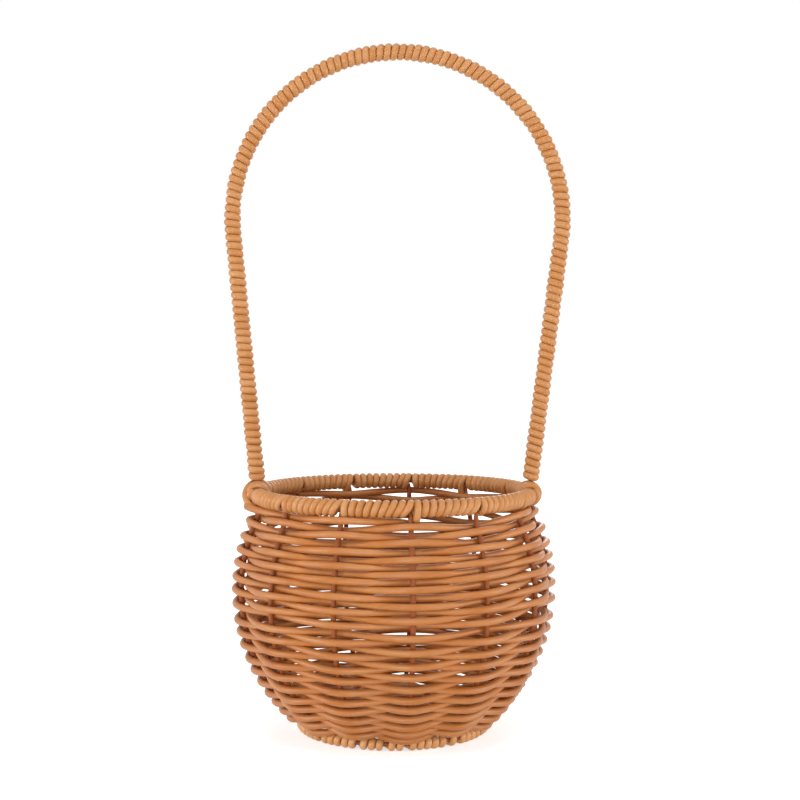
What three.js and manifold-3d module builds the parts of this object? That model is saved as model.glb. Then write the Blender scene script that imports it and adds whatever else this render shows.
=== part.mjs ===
// Round-bellied basket of woven strand on a wire frame, with a tall fixed handle.
// Millimetres, +Z up. The origin is on the ground under the middle of the base, and the handle spans X.
import * as THREE from "three";
import { mergeVertices } from "three/addons/utils/BufferGeometryUtils.js";
import Module from "manifold-3d";

const wasm = await Module();
wasm.setup();

// Driving dimensions
const clearance = 0.3;
const strandDiameter = 3.4;
const stakeDiameter = 2.4;
const hoopWireDiameter = 2.6;
const footWireDiameter = 2.2;
const windingDiameter = 8.2;
const footWindingDiameter = 7.2;
const windingPitch = 3.65;
const rimWindingPitch = 3.7;
const footWindingPitch = 4.28;
const rimRadius = 65.8;
const rimHeight = 114.3;
const neckLength = 8;
const rowPitch = 2.68;
const rowGap = 0.45;
const bellyBulge = 8.6;
const cornerSetIn = 17.8;
const footCutDepth = 0.5;
const footInset = 3.6;
const cornerLength = 1.5;
const handleCurveRadius = 79.5;
const handleCurveHeight = 247.2;
const handleLean = 1.9;
const hubDiameter = 12;
const hubThickness = 2.4;
const baseHoleDiameter = 17;
const windingSeamGap = 0.5;
const mergeDistance = 1e-4;
const lashingBulge = 2.4;

// Counts and angles
const stakeCount = 13;
const wallRowCount = 36;
const skirtAngle = THREE.MathUtils.degToRad(44);
const wireSides = 5;
const windingSides = 5;
const rimStepsPerStake = 3;
const footStepsPerStake = 2;
const wallStepsPerStake = 2;
const arcSteps = 6;
const archSteps = 16;
const loopSteps = 12;
const lashingSides = 5;

// Shares of the sizes that they follow
const grooveDepthShare = 0.26;
const baseSkinShare = 0.82;
const endShare = 0.01;

// Materials
const strandLook = { color: 0xcf9360, roughness: 0.55, metalness: 0 };
const strandShadeLook = { color: 0xb97d4e, roughness: 0.6, metalness: 0 };
const wireLook = { color: 0x8a5334, roughness: 0.5, metalness: 0.2 };

// Sizes that follow from the driving dimensions
const stakeRadius = stakeDiameter / 2;
const stakeStep = (2 * Math.PI) / stakeCount;
const weaveReach = stakeRadius + strandDiameter;
const strandThickness = strandDiameter - clearance;
const weaveOffset = weaveReach - strandThickness / 2;
const bellyRadius = rimRadius + bellyBulge;
const footHeight = footWindingDiameter / 2 - footCutDepth;
const baseHeight = footHeight + footWindingDiameter / 2 + clearance + stakeRadius;
const cornerRadius = rimRadius - cornerSetIn;
const footRadius = cornerRadius - footInset;
const flatShare = Math.cos(Math.PI / windingSides);
const windingThickness = windingDiameter / 2 - hoopWireDiameter / 2 - clearance;
const windingBore = (hoopWireDiameter / 2 + clearance) / flatShare;

// The wall's curve: one arc that touches the skirt, reaches the belly's radius and ends at the neck with the
// rim's radius. Its radius is the smaller root of the quadratic that these three say together.
const bendShare = Math.tan(skirtAngle / 2);
const curveRoom = rimHeight - neckLength - baseHeight - (bellyRadius - cornerRadius) / Math.tan(skirtAngle);
const curveHalf = curveRoom * bendShare + bellyBulge;
const curveRest = bendShare * Math.hypot(curveRoom, bellyBulge);
const wallCurveRadius = (curveHalf - Math.sqrt(curveHalf ** 2 - curveRest ** 2)) / bendShare ** 2;
const curveCentreRadius = bellyRadius - wallCurveRadius;
const shoulderAngle = Math.acos((rimRadius - curveCentreRadius) / wallCurveRadius);
const bellyHeight = rimHeight - neckLength - wallCurveRadius * Math.sin(shoulderAngle);

// A path that holds its stations where they are listed, so pieces on one path share every bend
class StationPath extends THREE.Curve {
  constructor(stations) {
    super();
    this.stations = stations;
  }

  getPoint(t) {
    const place = t * (this.stations.length - 1);
    const before = Math.min(Math.floor(place), this.stations.length - 2);
    return this.stations[before].clone().lerp(this.stations[before + 1], place - before);
  }

  getPointAt(u) {
    return this.getPoint(u);
  }

  getTangentAt(u) {
    return this.getTangent(u);
  }
}

// A round section drawn as a regular polygon
function roundSection(radius, sides) {
  const points = [];
  for (let i = 0; i < sides; i += 1) {
    const turn = (2 * Math.PI * i) / sides;
    points.push(new THREE.Vector2(radius * Math.cos(turn), radius * Math.sin(turn)));
  }
  return new THREE.Shape(points);
}

// A solid wire or strand along a list of stations
function wireGeometry(stations, radius, sides) {
  return new THREE.ExtrudeGeometry(roundSection(radius, sides), {
    steps: stations.length - 1,
    bevelEnabled: false,
    extrudePath: new StationPath(stations),
  });
}

// A closed ring of round wire about the vertical axis, with a corner of its section at the bottom
function hoopGeometry(radius, height, wireRadius, stepsPerStake) {
  const outline = [];
  for (let i = 0; i <= wireSides; i += 1) {
    const turn = (2 * Math.PI * i) / wireSides - Math.PI / 2;
    const out = wireRadius * Math.cos(turn);
    const up = wireRadius * Math.sin(turn);
    outline.push(new THREE.Vector2(radius + out, height + up));
  }
  const ring = new THREE.LatheGeometry(outline, stakeCount * stepsPerStake);
  return ring.rotateX(Math.PI / 2);
}

// Solids for cutting and joining
function toSolid(geometry) {
  const bare = geometry.clone();
  bare.deleteAttribute("normal");
  bare.deleteAttribute("uv");
  const merged = mergeVertices(bare, mergeDistance);
  const mesh = new wasm.Mesh({
    numProp: 3,
    vertProperties: Float32Array.from(merged.attributes.position.array),
    triVerts: Uint32Array.from(merged.index.array),
  });
  return new wasm.Manifold(mesh);
}

function toGeometry(solid) {
  const mesh = solid.getMesh();
  const geometry = new THREE.BufferGeometry();
  geometry.setAttribute("position", new THREE.BufferAttribute(Float32Array.from(mesh.vertProperties), 3));
  geometry.setIndex(new THREE.BufferAttribute(Uint32Array.from(mesh.triVerts), 1));
  geometry.computeVertexNormals();
  return geometry;
}

function cutAway(geometry, cutters) {
  let solid = toSolid(geometry);
  for (const cutter of cutters) {
    solid = solid.subtract(toSolid(cutter));
  }
  return toGeometry(solid);
}

// Triangles gathered into one geometry
class Skin {
  constructor() {
    this.corners = [];
    this.faces = [];
  }

  point(p) {
    this.corners.push(p.x, p.y, p.z);
    return this.corners.length / 3 - 1;
  }

  triangle(a, b, c) {
    this.faces.push(a, b, c);
  }

  quad(a, b, c, d) {
    this.triangle(a, b, c);
    this.triangle(a, c, d);
  }

  geometry() {
    const geometry = new THREE.BufferGeometry();
    geometry.setAttribute("position", new THREE.Float32BufferAttribute(this.corners, 3));
    geometry.setIndex(this.faces);
    geometry.computeVertexNormals();
    return geometry;
  }
}

// Place on the ring at an angle counted from the front (-Y) towards the right (+X)
function onRing(angle, radius, height) {
  return new THREE.Vector3(radius * Math.sin(angle), -radius * Math.cos(angle), height);
}

// The uprights stand at equal steps, with one of them right under the handle's right foot
function stakeAngle(index) {
  return Math.PI / 2 + (index - Math.floor(stakeCount / 4)) * stakeStep;
}

// The line of an upright in its own upright plane, as [radius, height] stations from the hub to the rim
const wallStations = [];
for (let i = 0; i <= arcSteps; i += 1) {
  const turn = -skirtAngle + ((skirtAngle + shoulderAngle) * i) / arcSteps;
  wallStations.push([
    curveCentreRadius + wallCurveRadius * Math.cos(turn),
    bellyHeight + wallCurveRadius * Math.sin(turn),
  ]);
}
const stakeTop = rimHeight - hoopWireDiameter / 2 - clearance;
const cornerRise = cornerLength * Math.cos(skirtAngle);
const cornerRun = cornerLength * Math.sin(skirtAngle);
const stakeLine = [
  [hubDiameter / 2 + clearance, baseHeight],
  [baseHoleDiameter, baseHeight],
  [cornerRadius - cornerLength, baseHeight],
  [cornerRadius + cornerRun, baseHeight + cornerRise],
  ...wallStations,
  [rimRadius, stakeTop],
];

function stakePath(index) {
  return stakeLine.map(([radius, height]) => onRing(stakeAngle(index), radius, height));
}

// Uprights
function stakeGeometry(index) {
  return wireGeometry(stakePath(index), stakeRadius, wireSides);
}

// The room that each upright takes in the pieces round it
function stakeChannels() {
  const channels = [];
  for (let index = 0; index < stakeCount; index += 1) {
    channels.push(wireGeometry(stakePath(index), stakeRadius + clearance, wireSides));
  }
  return channels;
}

// Hub plate that the uprights are fixed to
function hubGeometry() {
  const plate = new THREE.CylinderGeometry(hubDiameter / 2, hubDiameter / 2, hubThickness, stakeCount);
  plate.rotateX(Math.PI / 2);
  plate.translate(0, 0, baseHeight);
  return plate;
}

// The wall's middle line, from just above the foot's winding to just under the rim's
const skirtDirection = [Math.sin(skirtAngle), Math.cos(skirtAngle)];
const footBelowCorner = baseHeight - footHeight;
const footToSkirt = footInset * skirtDirection[0] + footBelowCorner * skirtDirection[1];
const wallStart = footWindingDiameter / 2 + clearance - footToSkirt;
const wallTop = rimHeight - windingDiameter / 2 - clearance;
const wallLine = [
  [cornerRadius + wallStart * skirtDirection[0], baseHeight + wallStart * skirtDirection[1]],
  ...wallStations,
  [rimRadius, wallTop],
];
const wallLengths = [0];
for (let i = 1; i < wallLine.length; i += 1) {
  const run = Math.hypot(wallLine[i][0] - wallLine[i - 1][0], wallLine[i][1] - wallLine[i - 1][1]);
  wallLengths.push(wallLengths[i - 1] + run);
}

// Place on the wall: a distance up the middle line, moved out of the wall by an offset
function onWall(along, angle, offset) {
  let part = 1;
  while (part < wallLengths.length - 1 && wallLengths[part] < along) {
    part += 1;
  }
  const mix = (along - wallLengths[part - 1]) / (wallLengths[part] - wallLengths[part - 1]);
  const from = wallLine[part - 1];
  const to = wallLine[part];
  const radius = from[0] + (to[0] - from[0]) * mix;
  const height = from[1] + (to[1] - from[1]) * mix;
  const slope = wallSlope(part, mix);
  return onRing(angle, radius + offset * Math.cos(slope), height + offset * Math.sin(slope));
}

// The angle of the wall's outward normal above the level, eased between the middles of its straight parts
function wallSlope(part, mix) {
  const own = partSlope(part);
  const next = partSlope(Math.min(part + 1, wallLine.length - 1));
  const last = partSlope(Math.max(part - 1, 1));
  const middle = 1 / 2;
  if (mix >= middle) {
    return own + (next - own) * (mix - middle);
  }
  return own + (last - own) * (middle - mix);
}

function partSlope(part) {
  const rise = wallLine[part][1] - wallLine[part - 1][1];
  const run = wallLine[part][0] - wallLine[part - 1][0];
  return Math.atan2(-run, rise);
}

// The rows' places up the wall, counted in turns from the first row. They lie wider apart towards the rim.
const wallTurns = wallRowCount - 1;
const firstRow = strandDiameter / 2;
const lastRow = wallLengths[wallLengths.length - 1] - strandDiameter / 2;
const rowGrowth = (2 * (lastRow - firstRow - wallTurns * rowPitch)) / wallTurns ** 2;

function rowPlace(turn) {
  return firstRow + rowPitch * turn + (rowGrowth / 2) * turn ** 2;
}

// Height of a row: a round strand's over the uprights, and between them no more than its neighbours leave
function rowHeight(turn, side) {
  if (side !== 0) {
    return strandDiameter;
  }
  const below = rowPlace(turn) - rowPlace(turn - 1);
  const above = rowPlace(turn + 1) - rowPlace(turn);
  return Math.min(strandDiameter, Math.min(below, above) - rowGap);
}

// Woven wall: one unbroken strand climbs in a spiral, in front of one upright and behind the next. The
// thirteen uprights are an odd number, so each row passes them the other way round than the last. Behind
// an upright its lowest turn lies on the spoke below it.
function wallGeometry() {
  const skin = new Skin();
  const steps = stakeCount * wallStepsPerStake;
  const rings = [];
  for (let n = 0; n <= steps * wallTurns; n += 1) {
    const side = Math.round(Math.cos((Math.PI * n) / wallStepsPerStake));
    const angle = stakeAngle(0) + (n * stakeStep) / wallStepsPerStake;
    const along = rowPlace(n / steps);
    const half = rowHeight(n / steps, side) / 2;
    const offset = side * weaveOffset;
    const centre = onWall(along, angle, offset);
    const lift = side < 0 ? Math.max(0, baseHeight + weaveOffset - centre.z) : 0;
    const section = [
      onWall(along, angle, offset + strandThickness / 2),
      onWall(along + half, angle, offset),
      onWall(along, angle, offset - strandThickness / 2),
      onWall(along - half, angle, offset),
    ];
    rings.push(section.map((corner) => skin.point(corner.setZ(corner.z + lift))));
  }
  for (let n = 1; n < rings.length; n += 1) {
    for (let k = 0; k < rings[n].length; k += 1) {
      const beside = (k + 1) % rings[n].length;
      skin.quad(rings[n - 1][k], rings[n][k], rings[n][beside], rings[n - 1][beside]);
    }
  }
  skin.quad(...rings[0]);
  skin.quad(...rings[rings.length - 1].reverse());
  return skin.geometry();
}

// Woven base: a flat ring of rows round the spokes, with the hub plate in its middle. Its lower part sits
// inside the wound foot, and its upper part reaches over the foot to the wall.
function baseGeometry() {
  const hole = baseHoleDiameter / 2;
  const low = footRadius - footWindingDiameter / 2 - clearance;
  const wide = Math.min(-onWall(0, 0, -weaveOffset).y, -onWall(firstRow, 0, -weaveReach).y) - clearance;
  const reach = weaveReach * baseSkinShare;
  const edge = strandDiameter / 2;
  const overFoot = footHeight + footWindingDiameter / 2 + clearance;
  const outline = [
    [hole, baseHeight - reach + edge],
    [hole + edge, baseHeight - reach],
    [low, baseHeight - reach],
    [low, overFoot],
    [wide, overFoot],
    [wide, baseHeight + reach - edge],
    [wide - edge, baseHeight + reach],
    [hole + edge, baseHeight + reach],
    [hole, baseHeight + reach - edge],
    [hole, baseHeight - reach + edge],
  ].map(([radius, height]) => new THREE.Vector2(radius, height));
  const disc = new THREE.LatheGeometry(outline, stakeCount * wallStepsPerStake);
  disc.rotateX(Math.PI / 2);
  disc.rotateZ(stakeAngle(0));
  return cutAway(disc, stakeChannels());
}

// A close winding: one strand laid turn against turn round a core. Its crest and the groove beside it both
// run as one unbroken helix. The path gives a centre and two cross directions at any distance along it.
function windingGeometry(path, start, end, pitch, crest, bore, boreStations) {
  const skin = new Skin();
  const turns = Math.round((end - start) / pitch) - 1;
  const step = (end - start) / ((turns + 1) * windingSides);
  const groove = crest - crest * grooveDepthShare;
  const last = turns * windingSides;
  const crests = [];
  const grooves = [];
  for (let n = 0; n <= last + windingSides; n += 1) {
    const turn = (2 * Math.PI * n) / windingSides;
    crests.push(skin.point(path(start + n * step, turn, crest)));
    if (n <= last) {
      grooves.push(skin.point(path(start + (n + windingSides / 2) * step, turn, groove)));
    }
  }
  const rings = boreStations.map((along) => {
    const ring = [];
    for (let n = 0; n < windingSides; n += 1) {
      ring.push(skin.point(path(along, (2 * Math.PI * n) / windingSides, bore)));
    }
    return ring;
  });
  for (let n = 0; n < last; n += 1) {
    skin.quad(crests[n], grooves[n], grooves[n + 1], crests[n + 1]);
    skin.quad(grooves[n], crests[n + windingSides], crests[n + 1 + windingSides], grooves[n + 1]);
  }
  for (let ring = 1; ring < rings.length; ring += 1) {
    for (let n = 0; n < windingSides; n += 1) {
      const beside = (n + 1) % windingSides;
      skin.quad(rings[ring - 1][n], rings[ring - 1][beside], rings[ring][beside], rings[ring][n]);
    }
  }
  const near = rings[0];
  const far = rings[rings.length - 1];
  for (let n = 0; n < windingSides; n += 1) {
    const beside = (n + 1) % windingSides;
    skin.quad(near[n], crests[n], crests[n + 1], near[beside]);
    skin.quad(far[beside], crests[last + n + 1], crests[last + n], far[n]);
  }
  skin.triangle(near[0], crests[windingSides], grooves[0]);
  skin.triangle(near[0], grooves[0], crests[0]);
  skin.triangle(far[0], crests[last], grooves[last]);
  skin.triangle(far[0], grooves[last], crests[last + windingSides]);
  return skin.geometry();
}

// Path of a winding on a hoop: the strand goes up the outside while it runs to the right past the front
function hoopPath(radius, height) {
  return (along, turn, reach) => {
    const out = reach * Math.sin(turn);
    return onRing(along / radius, radius + out, height - reach * Math.cos(turn));
  };
}

// Distances along a hoop where its wire bends, between two ends
function hoopStations(radius, start, end, stepsPerStake) {
  const step = (radius * stakeStep) / stepsPerStake;
  const least = step * endShare;
  const stations = [start];
  for (let along = Math.ceil((start + least) / step) * step; along < end - least; along += step) {
    stations.push(along);
  }
  stations.push(end);
  return stations;
}

// Handle line: two straight legs that meet one round arch, in the upright plane through both feet
const lashingGapToHoop = hoopWireDiameter / 2 + clearance + windingThickness / 2;

// Distance of a lashing's loop from the rim's middle line: least under the rim, most over it
function loopReach(turn) {
  return lashingGapToHoop + (lashingBulge * (1 - Math.cos(turn))) / 2;
}

const rodFoot = rimHeight + hoopWireDiameter / 2 + clearance;
const legFoot = rimHeight + loopReach(Math.PI) + windingThickness / 2 + clearance;

function tangentAngle(side) {
  const towardX = side * rimRadius - handleLean;
  const towardZ = rodFoot - handleCurveHeight;
  const reach = Math.hypot(towardX, towardZ);
  return Math.atan2(towardZ, towardX) + side * Math.acos(handleCurveRadius / reach);
}

const archStart = tangentAngle(-1) + 2 * Math.PI;
const archEnd = tangentAngle(1);

function onArch(angle, radius) {
  const x = handleLean + radius * Math.cos(angle);
  return new THREE.Vector3(x, 0, handleCurveHeight + radius * Math.sin(angle));
}

const leftFoot = new THREE.Vector3(-rimRadius, 0, rodFoot);
const rightFoot = new THREE.Vector3(rimRadius, 0, rodFoot);
const leftLegLength = leftFoot.distanceTo(onArch(archStart, handleCurveRadius));
const rightLegLength = rightFoot.distanceTo(onArch(archEnd, handleCurveRadius));
const archLength = handleCurveRadius * (archStart - archEnd);
const handleLength = leftLegLength + archLength + rightLegLength;

// Centre and outward direction of the handle at a distance from its left foot
function onHandle(along) {
  if (along < leftLegLength) {
    const outward = onArch(archStart, 1).sub(onArch(archStart, 0));
    const share = along / leftLegLength;
    return { centre: leftFoot.clone().lerp(onArch(archStart, handleCurveRadius), share), outward };
  }
  if (along > leftLegLength + archLength) {
    const outward = onArch(archEnd, 1).sub(onArch(archEnd, 0));
    const share = (handleLength - along) / rightLegLength;
    return { centre: rightFoot.clone().lerp(onArch(archEnd, handleCurveRadius), share), outward };
  }
  const angle = archStart - (along - leftLegLength) / handleCurveRadius;
  return { centre: onArch(angle, handleCurveRadius), outward: onArch(angle, 1).sub(onArch(angle, 0)) };
}

// Path of the handle's winding: in front, the strand runs from the inner side to the outer side
function handlePath(along, turn, reach) {
  const { centre, outward } = onHandle(along);
  const place = centre.addScaledVector(outward, reach * Math.cos(turn));
  place.y += reach * Math.sin(turn);
  return place;
}

const handleStations = [0];
for (let i = 0; i <= archSteps; i += 1) {
  handleStations.push(leftLegLength + (archLength * i) / archSteps);
}
handleStations.push(handleLength);

function rodGeometry() {
  const stations = handleStations.map((along) => onHandle(along).centre);
  return wireGeometry(stations, hoopWireDiameter / 2, wireSides);
}

function handleWindingGeometry() {
  const start = (legFoot - rodFoot) / Math.cos(archStart - Math.PI);
  const end = handleLength - (legFoot - rodFoot) / Math.cos(archEnd);
  const stations = [start, ...handleStations.slice(1, -1), end];
  return windingGeometry(handlePath, start, end, windingPitch, windingDiameter / 2, windingBore, stations);
}

// Rim winding, in two halves between the lashings. The handle's rod is as thick as the hoop, so a lashing's
// loops pass beside it at the same distance.
const lashingOffset = lashingGapToHoop;
const lashingReach = lashingOffset + windingThickness / 2 + clearance;

function rimWindingGeometry(middleAngle) {
  const half = (rimRadius * Math.PI) / 2 - lashingReach;
  const start = rimRadius * middleAngle - half;
  const end = rimRadius * middleAngle + half;
  const path = hoopPath(rimRadius, rimHeight);
  const stations = hoopStations(rimRadius, start, end, rimStepsPerStake);
  const crest = windingDiameter / 2;
  const winding = windingGeometry(path, start, end, rimWindingPitch, crest, windingBore, stations);
  return cutAway(winding, stakeChannels());
}

// Foot winding, cut flat where the basket stands on it
function footWindingGeometry() {
  const crest = footWindingDiameter / 2;
  const bore = (footWireDiameter / 2 + clearance) / flatShare;
  const start = footRadius * Math.PI + windingSeamGap / 2;
  const end = footRadius * 3 * Math.PI - windingSeamGap / 2;
  const path = hoopPath(footRadius, footHeight);
  const stations = hoopStations(footRadius, start, end, footStepsPerStake);
  const winding = windingGeometry(path, start, end, footWindingPitch, crest, bore, stations);
  const span = 2 * (footRadius + footWindingDiameter);
  const ground = new THREE.BoxGeometry(span, span, footWindingDiameter);
  ground.translate(0, 0, -footWindingDiameter / 2);
  return cutAway(winding, [ground]);
}

// Lashing: a strand loops round the rim on one side of the handle's foot, crosses over the outside of the
// rim to the other side of the foot, and loops round the rim again
const lashingStart = THREE.MathUtils.degToRad(-235);
const lashingEnd = THREE.MathUtils.degToRad(415);
const crossStart = THREE.MathUtils.degToRad(35);
const crossEnd = THREE.MathUtils.degToRad(145);

function lashingStations(side) {
  const count = Math.round((loopSteps * (lashingEnd - lashingStart)) / (2 * Math.PI));
  const stations = [];
  for (let i = 0; i <= count; i += 1) {
    const turn = lashingStart + ((lashingEnd - lashingStart) * i) / count;
    const share = THREE.MathUtils.smoothstep(turn, crossStart, crossEnd);
    const out = loopReach(turn) * Math.sin(turn);
    const up = -loopReach(turn) * Math.cos(turn);
    const sideways = lashingOffset * (2 * share - 1);
    stations.push(new THREE.Vector3(side * (rimRadius + out), sideways, rimHeight + up));
  }
  return stations;
}

function lashingGeometry(side) {
  return wireGeometry(lashingStations(side), windingThickness / 2, lashingSides);
}

// The least gap between a lashing's loops, measured between stations at least half a loop apart
function lashingGap(side) {
  const stations = lashingStations(side);
  let least = Infinity;
  for (let i = 0; i < stations.length; i += 1) {
    for (let j = i + loopSteps / 2; j < stations.length; j += 1) {
      least = Math.min(least, stations[i].distanceTo(stations[j]) - windingThickness);
    }
  }
  return least;
}

console.log(`least gap between the loops of a lashing: ${lashingGap(1).toFixed(2)} mm`);

// The basket
const basket = new THREE.Group();

function place(name, geometry, look) {
  const mesh = new THREE.Mesh(geometry, new THREE.MeshStandardMaterial(look));
  mesh.name = name;
  basket.add(mesh);
}

for (let index = 0; index < stakeCount; index += 1) {
  place(`stake_${String(index + 1).padStart(2, "0")}`, stakeGeometry(index), wireLook);
}
place("hub_plate", hubGeometry(), wireLook);
place("rim_hoop", hoopGeometry(rimRadius, rimHeight, hoopWireDiameter / 2, rimStepsPerStake), wireLook);
place("foot_hoop", hoopGeometry(footRadius, footHeight, footWireDiameter / 2, footStepsPerStake), wireLook);
place("handle_rod", rodGeometry(), wireLook);
place("wall_weave", wallGeometry(), strandLook);
place("base_weave", baseGeometry(), strandShadeLook);
place("rim_winding_front", rimWindingGeometry(0), strandLook);
place("rim_winding_back", rimWindingGeometry(Math.PI), strandLook);
place("lashing_left", lashingGeometry(-1), strandShadeLook);
place("lashing_right", lashingGeometry(1), strandShadeLook);
place("foot_winding", footWindingGeometry(), strandLook);
place("handle_winding", handleWindingGeometry(), strandLook);

export default basket;
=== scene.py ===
from math import atan2, cos, hypot, pi, radians, sin, sqrt, tan

import bmesh
import bpy
import numpy as np
from mathutils import Matrix, Vector


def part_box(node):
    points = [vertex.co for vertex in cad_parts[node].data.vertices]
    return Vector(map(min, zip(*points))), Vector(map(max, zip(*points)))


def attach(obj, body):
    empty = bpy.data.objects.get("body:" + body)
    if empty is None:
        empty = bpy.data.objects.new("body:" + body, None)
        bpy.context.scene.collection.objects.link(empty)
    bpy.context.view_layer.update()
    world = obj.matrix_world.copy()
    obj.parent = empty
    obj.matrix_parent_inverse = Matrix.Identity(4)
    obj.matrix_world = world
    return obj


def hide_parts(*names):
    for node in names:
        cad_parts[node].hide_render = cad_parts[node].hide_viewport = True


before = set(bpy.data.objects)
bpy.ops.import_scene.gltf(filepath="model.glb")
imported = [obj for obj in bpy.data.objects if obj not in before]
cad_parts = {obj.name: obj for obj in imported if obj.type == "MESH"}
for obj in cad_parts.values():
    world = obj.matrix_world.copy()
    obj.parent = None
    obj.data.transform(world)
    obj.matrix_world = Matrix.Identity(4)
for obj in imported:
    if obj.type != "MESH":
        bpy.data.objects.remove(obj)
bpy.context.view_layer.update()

# Uprights
# Thirteen round wires, welded to a hub in the middle of the base. Each runs out over the foot ring,
# turns up at the corner, follows the round belly and ends against the rim's hoop. It is dipped in
# brown paint, which has gone a little uneven.
upright_count = 13
upright_step = 2 * pi / upright_count
upright_radius = 0.0012
upright_sides = 14
rim_wire_low, rim_wire_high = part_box("rim_hoop")
rim_height = (rim_wire_low.z + rim_wire_high.z) / 2
rim_wire_radius = (rim_wire_high.z - rim_wire_low.z) / 2
rim_radius = 0.0658
neck_length = 0.008
belly_radius = 0.0744
corner_radius = 0.048
corner_bend = 0.003
skirt_angle = radians(44)
hub_low, hub_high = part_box("hub_plate")
upright_foot = (hub_low.z + hub_high.z) / 2
upright_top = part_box("stake_01")[1].z
hub_radius = 0.006
# Every strand and wire thins over its last few stations, so its ends are rounded
tip_shares = (0.35, 0.75, 0.94)
wire_start_share = 0.6
hub_end_reach = 0.008
hub_end_stations = 5
spoke_start = 0.014
spoke_stations = 12
bend_stations = 7
wall_stations = 60
paint_dark = (0.255, 0.066, 0.018, 1)
paint_light = (0.385, 0.112, 0.032, 1)
paint_patch_scale = 220.0
paint_grain_scale = 1800.0
paint_grain_strength = 0.25
paint_grain_depth = 0.0001
paint_roughness = 0.5
paint_specular = 0.2

belly_bulge = belly_radius - rim_radius
skirt_rise = (belly_radius - corner_radius) / tan(skirt_angle)
curve_room = rim_height - neck_length - upright_foot - skirt_rise
bend_share = tan(skirt_angle / 2)
curve_half = curve_room * bend_share + belly_bulge
curve_rest = bend_share * hypot(curve_room, belly_bulge)
curve_radius = (curve_half - sqrt(curve_half**2 - curve_rest**2)) / bend_share**2
curve_centre = belly_radius - curve_radius
shoulder_angle = np.arccos((rim_radius - curve_centre) / curve_radius)
belly_height = rim_height - neck_length - curve_radius * sin(shoulder_angle)
skirt_end = curve_centre + curve_radius * cos(skirt_angle)
skirt_length = (skirt_end - corner_radius) / sin(skirt_angle)
curve_length = curve_radius * (skirt_angle + shoulder_angle)


def on_wall(along):
    """Radius, height and outward slope of the wall's middle line, some way up from its corner."""
    if along < skirt_length:
        radius = corner_radius + along * sin(skirt_angle)
        return radius, upright_foot + along * cos(skirt_angle), -skirt_angle
    if along < skirt_length + curve_length:
        slope = (along - skirt_length) / curve_radius - skirt_angle
        radius = curve_centre + curve_radius * cos(slope)
        return radius, belly_height + curve_radius * sin(slope), slope
    past = along - skirt_length - curve_length
    ease = max(0.0, 1 - past / (neck_length / 2))
    return rim_radius, rim_height - neck_length + past, shoulder_angle * ease


def on_ring(angle, radius, height):
    """A place at an angle counted from the front towards the right."""
    return (radius * sin(angle), -radius * cos(angle), height)


def upright_angle(index):
    """Angle of an upright, from the front towards the right."""
    return pi / 2 + (index - upright_count // 4) * upright_step


def lay_strand(name, centres, outward, half_width, half_out, half_in, sides, material):
    """One unbroken round or flat strand along its middle line, with its length in the UV map."""
    centres = np.asarray(centres, float)
    outward = np.asarray(outward, float)
    count = len(centres)
    sizes = [
        np.broadcast_to(np.asarray(size, float), count).copy()
        for size in (half_width, half_out, half_in)
    ]
    for size in sizes:
        for i, share in enumerate(tip_shares):
            size[i] *= share
            size[count - 1 - i] *= share
    forward = np.gradient(centres, axis=0)
    forward /= np.linalg.norm(forward, axis=1, keepdims=True)
    across = np.cross(forward, outward)
    across /= np.linalg.norm(across, axis=1, keepdims=True)
    over = np.cross(across, forward)
    widths, outs, ins = (size[:, None] for size in sizes)
    turns = 2 * pi * np.arange(sides) / sides
    spread = (widths * np.cos(turns))[..., None]
    lift = (np.where(np.sin(turns) > 0, outs, ins) * np.sin(turns))[..., None]
    places = (centres[:, None] + across[:, None] * spread + over[:, None] * lift).tolist()
    bm = bmesh.new()
    bm.loops.layers.uv.new("laid")
    bmesh.ops.create_grid(bm, x_segments=count - 1, y_segments=sides, size=1, calc_uvs=True)
    first, last = {}, {}
    for vert in bm.verts:
        station = round((vert.co.x + 1) / 2 * (count - 1))
        turn = round((vert.co.y + 1) / 2 * sides)
        if turn == 0:
            first[station] = vert
        if turn == sides:
            last[station] = vert
        vert.co = places[station][turn % sides]
    bmesh.ops.weld_verts(bm, targetmap={last[i]: first[i] for i in range(count)})
    bmesh.ops.holes_fill(bm, edges=[edge for edge in bm.edges if edge.is_boundary], sides=0)
    bmesh.ops.recalc_face_normals(bm, faces=bm.faces)
    length = np.linalg.norm(np.diff(centres, axis=0), axis=1).sum()
    return finish_piece(name, bm, material, length)


def finish_piece(name, bm, material, length=1.0):
    """A smooth mesh object from the bmesh. A strand's UV map gets its real length along U."""
    mesh = bpy.data.meshes.new(name)
    bm.to_mesh(mesh)
    bm.free()
    mesh.shade_smooth()
    if mesh.uv_layers:
        laid = np.zeros(len(mesh.loops) * 2, np.float32)
        mesh.uv_layers[0].data.foreach_get("uv", laid)
        laid[0::2] *= length
        mesh.uv_layers[0].data.foreach_set("uv", laid)
    mesh.materials.append(material)
    piece = bpy.data.objects.new(name, mesh)
    bpy.context.scene.collection.objects.link(piece)
    return piece


def node_tools(tree):
    """Short ways to add a node, with its settings and its in_ sockets, and to join two sockets."""

    def node(kind, **settings):
        made = tree.nodes.new(kind)
        for key, value in settings.items():
            if key.startswith("in_"):
                made.inputs[key[3:].replace("_", " ")].default_value = value
            else:
                setattr(made, key, value)
        return made

    return node, tree.links.new


def new_material(name):
    """A material, its shader and the two tools for its nodes."""
    material = bpy.data.materials.new(name)
    material.use_nodes = True
    tree = material.node_tree
    return material, tree.nodes["Principled BSDF"], *node_tools(tree)


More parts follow.
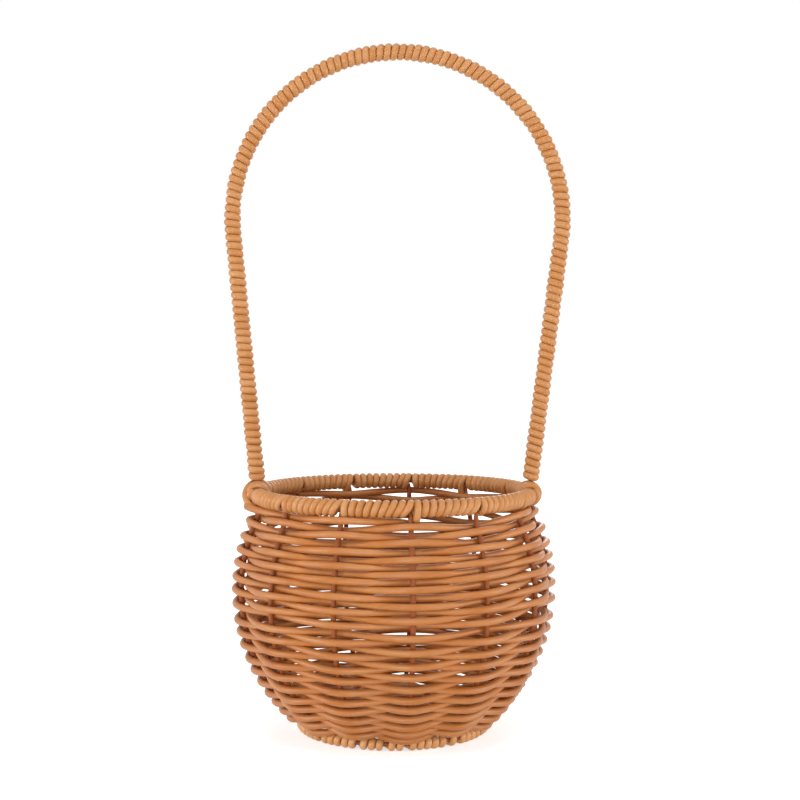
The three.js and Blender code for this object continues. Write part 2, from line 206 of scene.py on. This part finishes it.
def paint_wire():
    """Satin brown paint, a little patchy and grainy."""
    material, shader, node, join = new_material("brown_wire_paint")
    place = node("ShaderNodeTexCoord")
    patches = node("ShaderNodeTexNoise", in_Scale=paint_patch_scale, in_Detail=3.0)
    join(place.outputs["Object"], patches.inputs["Vector"])
    tint = node("ShaderNodeMixRGB", in_Color1=paint_dark, in_Color2=paint_light)
    join(patches.outputs["Fac"], tint.inputs["Fac"])
    join(tint.outputs["Color"], shader.inputs["Base Color"])
    grain = node("ShaderNodeTexNoise", in_Scale=paint_grain_scale, in_Detail=2.0)
    join(place.outputs["Object"], grain.inputs["Vector"])
    bump = node(
        "ShaderNodeBump", in_Strength=paint_grain_strength, in_Distance=paint_grain_depth
    )
    join(grain.outputs["Fac"], bump.inputs["Height"])
    join(bump.outputs["Normal"], shader.inputs["Normal"])
    shader.inputs["Roughness"].default_value = paint_roughness
    shader.inputs["Specular IOR Level"].default_value = paint_specular
    return material


wire_paint = paint_wire()

bend_reach = corner_bend * tan((pi / 2 - skirt_angle) / 2)
spoke_radii = [
    *(hub_radius * wire_start_share + np.linspace(0, hub_end_reach, hub_end_stations)),
    *np.linspace(spoke_start, corner_radius - bend_reach, spoke_stations),
]
upright_line = [(radius, upright_foot, pi / 2) for radius in spoke_radii]
for turn in np.linspace(0, pi / 2 - skirt_angle, bend_stations)[1:]:
    radius = corner_radius - bend_reach + corner_bend * sin(turn)
    upright_line.append((radius, upright_foot + corner_bend * (1 - cos(turn)), pi / 2 + turn))
wall_end = skirt_length + curve_length + upright_top - (rim_height - neck_length)
for along in np.linspace(bend_reach, wall_end, wall_stations)[1:]:
    radius, height, slope = on_wall(along)
    upright_line.append((radius, height, slope + pi))

for index in range(upright_count):
    angle = upright_angle(index)
    centres = [on_ring(angle, radius, height) for radius, height, slope in upright_line]
    outward = [on_ring(angle, cos(slope), sin(slope)) for radius, height, slope in upright_line]
    node_name = f"stake_{index + 1:02d}"
    upright = lay_strand(
        f"upright_{index + 1:02d}", centres, outward, upright_radius, upright_radius,
        upright_radius, upright_sides, wire_paint,
    )
    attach(upright, "root")
    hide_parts(node_name)

# Hub
# A small round steel plate in the middle of the base that the inner ends of the uprights are welded
# to. It is pressed from sheet, so its edges are rounded, and it is painted with the wires.
hub_edge = 0.0005
hub_edge_steps = 3
hub_sides = 64
sharp_angle = radians(60)
bm = bmesh.new()
bmesh.ops.create_cone(
    bm, cap_ends=True, segments=hub_sides, radius1=hub_radius, radius2=hub_radius,
    depth=hub_high.z - hub_low.z,
)
bmesh.ops.translate(bm, verts=bm.verts, vec=(0, 0, upright_foot))
rounded = [
    edge for edge in bm.edges
    if len(edge.link_faces) == 2 and edge.calc_face_angle() > sharp_angle
]
bmesh.ops.bevel(
    bm, geom=rounded, offset=hub_edge, segments=hub_edge_steps, profile=0.5, affect="EDGES",
    material=-1,
)
hub = finish_piece("hub", bm, wire_paint)
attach(hub, "root")
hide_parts("hub_plate")

# Hoops
# Two rings of thicker wire: the rim's, which the handle is welded to, and the foot's, which the
# basket stands on. They are bent from straight wire and painted brown. Their windings hide them.
foot_wire_low, foot_wire_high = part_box("foot_hoop")
foot_wire_radius = (foot_wire_high.z - foot_wire_low.z) / 2
foot_height = (foot_wire_low.z + foot_wire_high.z) / 2
foot_radius = 0.0444
hoop_steps = 156
hoop_sides = 14
hoops = (
    ("rim_ring", "rim_hoop", rim_radius, rim_height, rim_wire_radius),
    ("foot_ring", "foot_hoop", foot_radius, foot_height, foot_wire_radius),
)
for name, node_name, radius, height, wire_radius in hoops:
    bm = bmesh.new()
    section = bmesh.ops.create_circle(bm, segments=hoop_sides, radius=wire_radius)["verts"]
    bmesh.ops.rotate(bm, verts=section, cent=(0, 0, 0), matrix=Matrix.Rotation(pi / 2, 3, "X"))
    bmesh.ops.translate(bm, verts=section, vec=(radius, 0, height))
    bmesh.ops.spin(
        bm, geom=list(bm.verts) + list(bm.edges), cent=(0, 0, 0), axis=(0, 0, 1), angle=2 * pi,
        steps=hoop_steps, use_merge=True,
    )
    bmesh.ops.recalc_face_normals(bm, faces=bm.faces)
    hoop = finish_piece(name, bm, wire_paint)
    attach(hoop, "root")
    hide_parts(node_name)

# Woven wall
# One long round strand of tan plastic cane, woven in front of one upright and behind the next. The
# uprights are an odd number, so each turn passes them the other way round. The turns are pushed
# down by hand: they lie closer near the foot, and small slits stay between them.
strand_radius = 0.0017
strand_sides = 12
weave_reach = upright_radius + strand_radius
wall_turns = 35
wall_start = -0.00044
wall_pitch = 0.00267
wall_pitch_growth = 0.0000266
lead_in_uprights = 3
steps_per_upright = 10
row_drift = 0.0002
row_drift_seed = 11
row_sway = 0.00042
sways_around = 4
sway_middle = radians(16)
sway_in_turns = 3
sway_out_turns = 14
reach_drift = 0.00005
reach_drift_seed = 12
corner_ease = 0.06
squeezed_share = 0.88
# Where the weaver's hand pressed the rows together or left them apart: turn, distance up the wall
row_pushes = (
    (2, 0), (12, 0), (18, -0.0006), (20.2, -0.0009), (20.9, 0.0010), (23, 0.0007),
    (24.5, 0.0002), (26, 0.0008), (28, 0.0005), (30, -0.0004), (35, -0.0002),
)
# The upper rows climb on the right and behind, and the middle rows on the left. Lifts: turn and
# most lift. Places: degrees from the front towards the right, and share of the lift.
upper_lifts = ((20, 0), (25, 0.0015), (29, 0.001), (31, 0.0016), (33.5, 0.003), (35, 0.0026))
upper_places = ((30, 0), (80, 1), (130, 0.6), (200, 0.5), (280, 0.3), (330, 0))
left_lifts = ((8, 0), (16, 0.0025), (24, 0.0015), (30, 0))
left_places = ((200, 0), (260, 1), (300, 0.8), (350, 0))
# Beside the left lashing the strand stands out from the wall once, three uprights from its end
loose_pass_uprights = 3
loose_pass = wall_turns - loose_pass_uprights / upright_count
loose_pass_out = 0.003
loose_pass_length = 0.03
# Tans of the cane: its light and dark stretches, and the darker tan of its streaks and creases.
# # On the streaks it is the cane's own colour; along the creases it is painted shade
wall_tans = ((0.535, 0.214, 0.062), (0.45, 0.142, 0.020), (0.27, 0.060, 0.004))
# Each pattern: how fast it changes along the strand's length and on the two axes of its round,
# and its noise's detail and roughness. Each range: from where to where in the noise it comes up.
tone_pattern = ((55.0, 0.35, 0.35), 3.0, 0.6)
tone_range = (0.34, 0.66)
streak_pattern = ((160.0, 5.5, 5.5), 4.0, 0.65)
streak_range = (0.42, 0.78)
streak_share = 0.3
crease_pattern = ((210.0, 0.9, 0.9), 1.0, 0.5)
crease_range = (0.52, 0.62)
# How much painted shade is laid along the crease lines
crease_shade_share = 0.3
creases_per_metre = 130.0
crease_width = 0.022
relief_strength = 0.35
relief_depth = 0.00012
cane_roughness = (0.38, 0.5)
cane_specular = 0.5


def drift(places, seed, waves=9, slowest=0.35, fastest=2.6):
    """A slow, seeded wander of about one unit each way, at places counted in turns or wraps."""
    chance = np.random.default_rng(seed)
    total = np.zeros(len(places))
    for _ in range(waves):
        pace = slowest + (fastest - slowest) * chance.random()
        total += np.sin(2 * pi * (pace * places + chance.random()))
    return total / sqrt(waves / 2)


def tan_cane(name, light, dark, shade):
    """Satin plastic cane: its tan drifts along it, fine lengthwise lines, rare creases in painted
    shade.
    """
    material, shader, node, join = new_material(name)

    def maths(operation, *values):
        made = node("ShaderNodeMath", operation=operation)
        for socket, value in zip(made.inputs, values):
            if isinstance(value, bpy.types.NodeSocket):
                join(value, socket)
            else:
                socket.default_value = value
        return made.outputs["Value"]

    def mapped(value, reach=(0.0, 1.0), result=(0.0, 1.0)):
        made = node("ShaderNodeMapRange", clamp=True)
        made.inputs["From Min"].default_value, made.inputs["From Max"].default_value = reach
        made.inputs["To Min"].default_value, made.inputs["To Max"].default_value = result
        join(value, made.inputs["Value"])
        return made.outputs["Result"]

    def shaded(colour, share):
        made = node("ShaderNodeMixRGB", in_Color2=(*shade, 1))
        join(share, made.inputs["Fac"])
        join(colour, made.inputs["Color1"])
        return made.outputs["Color"]

    laid = node("ShaderNodeUVMap", uv_map="laid")
    apart = node("ShaderNodeSeparateXYZ")
    join(laid.outputs["UV"], apart.inputs["Vector"])
    turn = maths("MULTIPLY", apart.outputs["Y"], 2 * pi)
    skin = node("ShaderNodeCombineXYZ")
    join(apart.outputs["X"], skin.inputs["X"])
    join(maths("COSINE", turn), skin.inputs["Y"])
    join(maths("SINE", turn), skin.inputs["Z"])

    def pattern(stretch, detail, roughness):
        place = node("ShaderNodeVectorMath", operation="MULTIPLY")
        place.inputs[1].default_value = stretch
        join(skin.outputs["Vector"], place.inputs[0])
        noise = node("ShaderNodeTexNoise", in_Scale=1.0, in_Detail=detail, in_Roughness=roughness)
        join(place.outputs["Vector"], noise.inputs["Vector"])
        return noise.outputs["Fac"]

    tone = node("ShaderNodeValToRGB")
    join(pattern(*tone_pattern), tone.inputs["Fac"])
    for stop, place, colour in zip(tone.color_ramp.elements, tone_range, (dark, light)):
        stop.position = place
        stop.color = (*colour, 1)
    streaks = pattern(*streak_pattern)
    streak_mask = mapped(streaks, streak_range, (0.0, streak_share))
    streaked = shaded(tone.outputs["Color"], streak_mask)

    crease = node(
        "ShaderNodeTexVoronoi", voronoi_dimensions="1D", feature="DISTANCE_TO_EDGE",
        in_Scale=creases_per_metre,
    )
    join(apart.outputs["X"], crease.inputs["W"])
    line = mapped(crease.outputs["Distance"], (0.0, crease_width), (1.0, 0.0))
    creases = maths("MULTIPLY", line, mapped(pattern(*crease_pattern), crease_range))
    # Painted shade: the crease lines are mixed toward the darker tan
    with_crease_shade = shaded(streaked, maths("MULTIPLY", creases, crease_shade_share))
    join(with_crease_shade, shader.inputs["Base Color"])
    join(mapped(streaks, result=cane_roughness), shader.inputs["Roughness"])

    bump = node("ShaderNodeBump", in_Strength=relief_strength, in_Distance=relief_depth)
    join(maths("SUBTRACT", streaks, creases), bump.inputs["Height"])
    join(bump.outputs["Normal"], shader.inputs["Normal"])
    shader.inputs["Specular IOR Level"].default_value = cane_specular
    return material


wall_cane = tan_cane("woven_cane", *wall_tans)


def wall_rise(turns):
    """Distance up the wall after some turns. The rows lie wider apart towards the rim."""
    push_turns, pushes = zip(*row_pushes)
    angle = upright_angle(0) + 2 * pi * turns
    swayed = row_sway * np.cos(sways_around * (angle - sway_middle))
    swayed *= np.clip(turns / sway_in_turns, 0, 1)
    swayed *= np.clip((wall_turns - turns) / sway_out_turns, 0, 1)
    even = wall_start + wall_pitch * turns + wall_pitch_growth / 2 * turns**2
    around = np.degrees(angle) % 360
    lifted = 0
    for lifts, places in ((upper_lifts, upper_places), (left_lifts, left_places)):
        lifted = lifted + np.interp(turns, *zip(*lifts)) * np.interp(around, *zip(*places))
    return even + np.interp(turns, push_turns, pushes) - swayed + lifted


first_step = -lead_in_uprights * steps_per_upright
last_step = wall_turns * upright_count * steps_per_upright
steps = np.arange(first_step, last_step + 1)
turns = steps / (upright_count * steps_per_upright)
swing = pi * steps / steps_per_upright
edge_share = np.clip(np.minimum(turns, wall_turns - turns), 0, 1)
passes = turns * upright_count
row_wander = row_drift * drift(passes, row_drift_seed, slowest=0.1, fastest=0.42)
rise = wall_rise(turns) + edge_share * row_wander
weave = (np.cos(swing) + corner_ease * np.cos(3 * swing)) / (1 + corner_ease)
reach = (weave_reach - reach_drift * np.abs(drift(passes, reach_drift_seed))) * weave
reach += loose_pass_out * np.exp(-(((turns - loose_pass) / loose_pass_length) ** 2))
room_above = wall_rise(turns + 1) - wall_rise(turns)
room_below = wall_rise(turns) - wall_rise(turns - 1)
room = np.minimum(room_above, room_below) / 2
squeezed = np.minimum(strand_radius, np.maximum(room, squeezed_share * strand_radius))
half_width = strand_radius + (squeezed - strand_radius) * np.sin(swing) ** 2
centres, outward = [], []
for place, out, turn in zip(rise, reach, turns):
    radius, height, slope = on_wall(place)
    angle = upright_angle(0) + 2 * pi * turn
    height += out * sin(slope)
    if out < 0:
        height = max(height, upright_foot - out)
    centres.append(on_ring(angle, radius + out * cos(slope), height))
    outward.append(on_ring(angle, cos(slope), sin(slope)))
wall = lay_strand(
    "woven_wall", centres, outward, half_width, strand_radius, strand_radius, strand_sides,
    wall_cane,
)
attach(wall, "root")
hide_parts("wall_weave")

# Woven base
# The same cane, woven over and under the spokes in a flat spiral from the hub to the foot ring.
# Past the ring it can't go under the spokes, so its last two turns only lie over them.
base_start = 0.0103
base_pitch = 0.00335
base_under_end = 0.0387
base_end = 0.0441
base_lift = 0.0009
base_width_share = 0.97
base_turns = (base_end - base_start) / base_pitch
steps = np.arange(0, int(base_turns * upright_count * steps_per_upright) + 1)
turns = steps / (upright_count * steps_per_upright)
swing = pi * steps / steps_per_upright
radii = base_start + base_pitch * turns
past_ring = np.clip((radii - base_under_end) / (base_pitch / 2), 0, 1)
waved = weave_reach * np.cos(swing)
laid_over = base_lift + (weave_reach - base_lift) * np.abs(np.cos(swing))
heights = upright_foot + waved * (1 - past_ring) + laid_over * past_ring
centres = [
    on_ring(upright_angle(0) + 2 * pi * turn, radius, height)
    for turn, radius, height in zip(turns, radii, heights)
]
outward = np.tile((0.0, 0.0, 1.0), (len(centres), 1))
base = lay_strand(
    "woven_base", centres, outward, strand_radius * base_width_share, strand_radius,
    strand_radius, strand_sides, wall_cane,
)
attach(base, "root")
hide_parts("base_weave")

# Foot winding
# Cane wound round the foot ring. The basket stands on it, so it is pressed flat below. The wraps
# sit in small groups, pushed aside where the uprights pass over them.
wrap_half_width = 0.0017
wrap_out = 0.00145
wrap_in = 0.00105
wrap_steps = 18
wrap_sides = 10
foot_wraps_per_upright = 5
foot_wrap_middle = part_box("foot_winding")[1].z - foot_height - wrap_out
foot_pitch_shares = (0.85, 0.85, 0.85, 0.85, 1.35)
foot_wander_share = 0.12
foot_seed = 21
foot_turned_back = 0.0026
foot_outer_run = 0.0007
# Where each group of wraps has opened a little: after which wrap, and by how much of one pitch
foot_gaps = (
    (1, 0.2), (0, 0.2), (3, 0.3), (2, 0.2), (1, 0.2), (2, 0.1), (2, 0.45), (3, 0), (0, 0.6),
    (2, 0.2), (3, 0.2), (1, 0.3), (2, 0.2),
)
# The foot's cane is the windings' cane, but its tans are painted lighter: painted light, standing
# in for the light that the white floor throws up on the foot
foot_tans_painted_light = ((0.78, 0.415, 0.178), (0.68, 0.315, 0.098), (0.44, 0.145, 0.026))


def half_turns(part):
    """How much of each wrap's way up, and then down again, is done at a part of its turn."""
    up = (1 - np.cos(np.minimum(part * 2, 1) * pi)) / 2
    down = (1 - np.cos(np.clip(part * 2 - 1, 0, 1) * pi)) / 2
    return up, down


def wrap_round(radius, height, turns, shifts, middle, drop=0.0):
    """Middle line and outward directions of a strand wound round a level hoop.

    turns counts wraps, from the bottom up the outside; shifts gives the distance along the hoop.
    """
    swing = 2 * pi * turns
    angle = shifts / radius
    reach = radius + middle * np.sin(swing)
    height = height - middle * np.cos(swing) - drop
    centres = np.stack([reach * np.sin(angle), -reach * np.cos(angle), height], axis=1)
    out, up = np.sin(swing), -np.cos(swing)
    facing = np.stack([out * np.sin(angle), -out * np.cos(angle), up], axis=1)
    return centres, facing


# Its tans carry painted light from below
foot_cane_painted_light = tan_cane("foot_cane_painted_light", *foot_tans_painted_light)

foot_wraps = foot_wraps_per_upright * upright_count
chance = np.random.default_rng(foot_seed)
shares = np.tile(foot_pitch_shares, upright_count)
shares += foot_wander_share * (chance.random(foot_wraps) - 0.5)
for index, (wrap, gap) in enumerate(foot_gaps):
    shares[index * foot_wraps_per_upright + wrap] += gap
shares *= foot_wraps / shares.sum()
marks = np.concatenate([[0], np.cumsum(shares)]) * 2 * pi * foot_radius / foot_wraps
turns = np.arange(0, foot_wraps * wrap_steps - 1) / wrap_steps
whole = np.floor(turns).astype(int)
up_part, down_part = half_turns(turns - whole)
shifts = marks[whole] + foot_outer_run * up_part
shifts += (marks[whole + 1] - marks[whole] - foot_outer_run) * down_part
shifts += pi * foot_radius - foot_turned_back
centres, outward = wrap_round(foot_radius, foot_height, turns, shifts, foot_wrap_middle)
foot = lay_strand(
    "foot_winding_cane", centres, outward, wrap_half_width, wrap_out, wrap_in, wrap_sides,
    foot_cane_painted_light,
)
for vert in foot.data.vertices:
    vert.co.z = max(vert.co.z, 0.0)
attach(foot, "root")
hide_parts("foot_winding")

# Rim winding
# Cane wound closely round the rim's hoop, nine wraps from upright to upright. The first stands
# straight and reaches down over the top row, and each next one leans more, up to the next upright.
rim_wraps_per_upright = 9
winding_radius = 0.0041
rim_wrap_middle = winding_radius - wrap_out
first_wrap_foot = 0.0024
first_wrap_top = 0.0029
last_wrap_foot = 0.0040
# How far each group's first wrap reaches down: the most, and each group's share of it
long_wrap_drop = 0.0026
drop_shares = (1, 0.25, 0.3, 0.5, 0.4, 1.2, 0.3, 0.6, 0.3, 0.5, 0.4, 0.1, 0.25)
rim_wander = 0.00012
rim_seed = 31
front_gap = 0.0101
back_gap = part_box("lashing_right")[1].y
wound_tans = ((0.60, 0.285, 0.105), (0.51, 0.200, 0.044), (0.30, 0.075, 0.006))

interval = rim_radius * upright_step
feet_pitch = (interval - first_wrap_foot - last_wrap_foot) / (rim_wraps_per_upright - 1)
tops_pitch = (interval - first_wrap_top) / (rim_wraps_per_upright - 1)
rim_wraps = np.arange((upright_count + 1) * rim_wraps_per_upright)
group_starts = rim_wraps // rim_wraps_per_upright * interval
places_in_group = rim_wraps % rim_wraps_per_upright
chance = np.random.default_rng(rim_seed)
rim_foot_marks = group_starts + first_wrap_foot + places_in_group * feet_pitch
rim_foot_marks += rim_wander * (chance.random(len(rim_wraps)) - 0.5)
rim_top_marks = group_starts + first_wrap_top + places_in_group * tops_pitch
rim_top_marks += rim_wander * (chance.random(len(rim_wraps)) - 0.5)
wound_cane = tan_cane("wound_cane", *wound_tans)


def wind_rim(name, node_name, middle_angle, gap):
    """One half of the rim's winding. The lashings take up a gap at each of its two ends."""
    start = rim_radius * (middle_angle - pi / 2) + gap + wrap_half_width
    end = rim_radius * (middle_angle + pi / 2) - gap - wrap_half_width
    origin = rim_radius * (upright_angle(0) - upright_count * upright_step)
    around = 2 * pi * rim_radius
    marks, tops = (
        np.concatenate([places[:-rim_wraps_per_upright], places + around])
        for places in (rim_foot_marks + origin, rim_top_marks + origin)
    )
    kept = [
        i for i in range(len(marks) - 1)
        if min(marks[i], tops[i]) > start and max(marks[i + 1], tops[i]) < end
    ]
    turns = kept[0] + np.arange(0, len(kept) * wrap_steps + 1) / wrap_steps
    whole = np.minimum(np.floor(turns).astype(int), kept[-1])
    up_part, down_part = half_turns(turns - whole)
    shifts = marks[whole] + (tops[whole] - marks[whole]) * up_part
    shifts += (marks[whole + 1] - tops[whole]) * down_part
    nearest = np.round(turns).astype(int)
    low = np.clip(np.cos(2 * pi * turns), 0, 1) ** 2
    reaching = np.array(drop_shares)[nearest // rim_wraps_per_upright % upright_count]
    drop = np.where(nearest % rim_wraps_per_upright == 0, long_wrap_drop * reaching * low, 0.0)
    centres, outward = wrap_round(rim_radius, rim_height, turns, shifts, rim_wrap_middle, drop)
    winding = lay_strand(
        name, centres, outward, wrap_half_width, wrap_out, wrap_in, wrap_sides, wound_cane
    )
    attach(winding, "root")
    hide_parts(node_name)


wind_rim("rim_winding_front_cane", "rim_winding_front", 0, front_gap)
wind_rim("rim_winding_back_cane", "rim_winding_back", pi, back_gap)

# Handle wire
# The tall handle is one thick wire: two straight legs that lean out a little and meet in a round
# arch. Its feet are welded on top of the rim's hoop.
arch_radius = 0.0795
arch_height = 0.2472
arch_lean = 0.0019
leg_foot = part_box("handle_rod")[0].z
handle_stations = 150


def arch_touch(side):
    """Angle on the arch where the leg from the rim's hoop on one side touches it."""
    toward_x = side * rim_radius - arch_lean
    toward_z = leg_foot - arch_height
    reach = hypot(toward_x, toward_z)
    return atan2(toward_z, toward_x) + side * np.arccos(arch_radius / reach)


arch_from = arch_touch(-1) + 2 * pi
arch_to = arch_touch(1)
arch_length = arch_radius * (arch_from - arch_to)
leg_lengths = []
for side, angle in ((-1, arch_from), (1, arch_to)):
    touch_x = arch_lean + arch_radius * cos(angle)
    touch_z = arch_height + arch_radius * sin(angle)
    leg_lengths.append(hypot(touch_x - side * rim_radius, touch_z - leg_foot))
handle_length = leg_lengths[0] + arch_length + leg_lengths[1]


def on_handle(along):
    """Middle of the handle's wire and the way out of its curve, some way from its left foot."""
    angle = arch_from - min(max(along - leg_lengths[0], 0), arch_length) / arch_radius
    out = np.array((cos(angle), 0.0, sin(angle)))
    touch = np.array((arch_lean, 0.0, arch_height)) + arch_radius * out
    ahead = np.array((sin(angle), 0.0, -cos(angle)))
    past = min(along - leg_lengths[0], 0) + max(along - leg_lengths[0] - arch_length, 0)
    return touch + ahead * past, out


alongs = np.linspace(0, handle_length, handle_stations)
centres, outward = zip(*[on_handle(along) for along in alongs])
handle_wire = lay_strand(
    "handle_wire", centres, outward, rim_wire_radius, rim_wire_radius, rim_wire_radius,
    hoop_sides, wire_paint,
)
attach(handle_wire, "root")
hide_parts("handle_rod")

# Handle winding
# Cane wound closely round the whole handle, wrap against wrap, from foot to foot. In front each
# wrap runs up from the inner side to the outer side. Both ends are tucked in behind, after a level
# half turn.
handle_pitch = 0.0035
handle_wrap_half_width = 0.0018
handle_wrap_out = 0.00145
handle_wrap_in = 0.00095
handle_middle = winding_radius - handle_wrap_out
handle_wander_share = 0.07
handle_seed = 41
middle_drift = 0.00007
middle_drift_seed = 42
foot_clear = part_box("handle_winding")[0].z - leg_foot
handle_start = foot_clear / cos(arch_from - pi) + handle_wrap_half_width
handle_end = handle_length - foot_clear / cos(arch_to) - handle_wrap_half_width
behind_turn = 0.25
front_turn = 0.75
wraps = round((handle_end - handle_start) / handle_pitch)
chance = np.random.default_rng(handle_seed)
shares = 1 + handle_wander_share * (chance.random(wraps) - 0.5)
marks = np.concatenate([[0], np.cumsum(shares)]) * (handle_end - handle_start) / shares.sum()
turns = behind_turn + np.arange(0, (wraps + 1) * wrap_steps + 1) / wrap_steps
alongs = handle_start + np.interp(turns - front_turn, np.arange(wraps + 1), marks)
wander = middle_drift * drift(turns, middle_drift_seed, slowest=0.02, fastest=0.3)
centres, outward = [], []
for along, turn, middle in zip(alongs, turns, handle_middle + wander):
    centre, out = on_handle(along)
    facing = out * cos(2 * pi * turn) + np.array((0.0, sin(2 * pi * turn), 0.0))
    centres.append(centre + facing * middle)
    outward.append(facing)
handle = lay_strand(
    "handle_winding_cane", centres, outward, handle_wrap_half_width, handle_wrap_out,
    handle_wrap_in, wrap_sides, wound_cane,
)
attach(handle, "root")
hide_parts("handle_winding")

# Lashings
# A length of the same cane ties each foot of the handle to the rim. It passes the foot outside,
# loops round the hoop twice behind it, comes back under the hoop and loops round it up to the rim's
# winding in front. On the left its tail lies slanting over the outside of that winding.
lashing_radius = 0.00155
lashing_sides = 14
lashing_step = 6
lashing_eases = (-24, -12, 0, 12, 24)
# Places on a route: degrees round the hoop from below, distance behind the foot, distance from the
# middle of the hoop's wire
lashing_loops = (
    (125, -0.0028, 0.0058), (150, 0, 0.0057), (175, 0.0030, 0.0055), (270, 0.0046, 0.0045),
    (360, 0.0056, 0.0034), (450, 0.0060, 0.0044), (540, 0.0050, 0.0040), (630, 0.0034, 0.0044),
    (720, 0.0029, 0.0034), (750, 0.0024, 0.0037), (770, 0, 0.0042), (790, -0.0024, 0.0043),
    (810, -0.0032, 0.0045), (900, -0.0038, 0.0050), (990, -0.0048, 0.0044),
    (1080, -0.0056, 0.0034), (1170, -0.0064, 0.0044), (1260, -0.0073, 0.0046),
    (1350, -0.0082, 0.0042), (1440, -0.0091, 0.0036), (1530, -0.0100, 0.0042),
    (1590, -0.0104, 0.0034),
)
left_tail = ((12, -0.0240, 0.0056), (50, -0.0150, 0.0058), (95, -0.0065, 0.0060))
right_tail = ((60, -0.0034, 0.0040), (100, -0.0032, 0.0052))
# How far from the wire the strand may stand, where it isn't pulled tight
left_slack = 0.0060
right_slack = 0.0047
tied_sides = ((-1, "left", left_tail, left_slack), (1, "right", right_tail, right_slack))
for side, name, tail, slack in tied_sides:
    route_turns, route_asides, route_reaches = zip(*tail, *lashing_loops)
    degrees = np.arange(route_turns[0], route_turns[-1], lashing_step)
    asides, reaches = (
        sum(np.interp(degrees + ease, route_turns, route) for ease in lashing_eases)
        / len(lashing_eases)
        for route in (route_asides, np.minimum(route_reaches, slack))
    )
    centres, outward = [], []
    for turn, aside, reach in zip(np.radians(degrees), asides, reaches):
        angle = side * (pi / 2 + aside / rim_radius)
        radius = rim_radius + reach * sin(turn)
        centres.append(on_ring(angle, radius, rim_height - reach * cos(turn)))
        outward.append(on_ring(angle, sin(turn), -cos(turn)))
    lashing = lay_strand(
        f"lashing_{name}_cane", centres, outward, lashing_radius, lashing_radius, lashing_radius,
        lashing_sides, wound_cane,
    )
    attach(lashing, "root")
    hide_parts(f"lashing_{name}")

# Studio
# A plain pale floor in an even white room, with a soft low lamp in front, one on each side, one
# above and a weaker one behind. The camera stands a little above the rim, looking slightly down.
floor_size = 12.0
floor_white = (0.82, 0.82, 0.82, 1)
floor_roughness = 0.9
floor_specular = 0.1
floor_glow_strength = 0.64
room_light = 0.46
# Each lamp: its place, the width of its disk and its power
lamps = (
    ("front_lamp", (-0.1, -1.2, 0.15), 0.26, 5.0),
    ("left_lamp", (-1.1, -0.3, 0.2), 0.36, 5.0),
    ("right_lamp", (1.1, -0.3, 0.2), 0.36, 4.4),
    ("top_lamp", (0.05, -0.35, 1.25), 0.7, 4.4),
    ("back_lamp", (0.2, 1.2, 0.5), 0.5, 3.0),
)
lamps_aim = Vector((0, 0, 0.12))
camera_place = (0.0031, -0.735, 0.1917)
camera_tilt = radians(87.5)
camera_lens = 68.34
camera_sensor = 36

bm = bmesh.new()
bmesh.ops.create_grid(bm, x_segments=1, y_segments=1, size=floor_size / 2)
floor_mesh = bpy.data.meshes.new("floor")
bm.to_mesh(floor_mesh)
bm.free()
floor = bpy.data.objects.new("floor", floor_mesh)
bpy.context.scene.collection.objects.link(floor)


def seen_directly(node, join):
    """One for camera, glossy and transmission rays, and zero for light that falls on things."""
    path = node("ShaderNodeLightPath")
    either = node("ShaderNodeMath", operation="MAXIMUM")
    join(path.outputs["Is Camera Ray"], either.inputs[0])
    join(path.outputs["Is Glossy Ray"], either.inputs[1])
    seen = node("ShaderNodeMath", operation="MAXIMUM")
    join(either.outputs["Value"], seen.inputs[0])
    join(path.outputs["Is Transmission Ray"], seen.inputs[1])
    return seen.outputs["Value"]


floor_material, shader, node, join = new_material("pale_floor")
shader.inputs["Base Color"].default_value = floor_white
shader.inputs["Roughness"].default_value = floor_roughness
shader.inputs["Specular IOR Level"].default_value = floor_specular
shader.inputs["Emission Color"].default_value = (1, 1, 1, 1)
floor_glow = node("ShaderNodeMath", operation="MULTIPLY")
floor_glow.inputs[1].default_value = floor_glow_strength
join(seen_directly(node, join), floor_glow.inputs[0])
join(floor_glow.outputs["Value"], shader.inputs["Emission Strength"])
floor_mesh.materials.append(floor_material)

world = bpy.data.worlds.new("white_room")
bpy.context.scene.world = world
world.use_nodes = True
node, join = node_tools(world.node_tree)
background = world.node_tree.nodes["Background"]
strength = node("ShaderNodeMapRange")
strength.inputs["To Min"].default_value = room_light
strength.inputs["To Max"].default_value = 1.0
join(seen_directly(node, join), strength.inputs["Value"])
join(strength.outputs["Result"], background.inputs["Strength"])
background.inputs["Color"].default_value = (1, 1, 1, 1)

for name, place, size, power in lamps:
    light = bpy.data.lights.new(name, "AREA")
    light.shape = "DISK"
    light.size = size
    light.energy = power
    lamp = bpy.data.objects.new(name, light)
    lamp.location = place
    lamp.rotation_euler = (lamps_aim - lamp.location).to_track_quat("-Z", "Y").to_euler()
    bpy.context.scene.collection.objects.link(lamp)

camera_data = bpy.data.cameras.new("camera")
camera_data.sensor_width = camera_sensor
camera_data.lens = camera_lens
camera = bpy.data.objects.new("camera", camera_data)
camera.location = camera_place
camera.rotation_euler = (camera_tilt, 0, 0)
bpy.context.scene.collection.objects.link(camera)
bpy.context.scene.camera = camera
bpy.context.scene.view_settings.view_transform = "Standard"
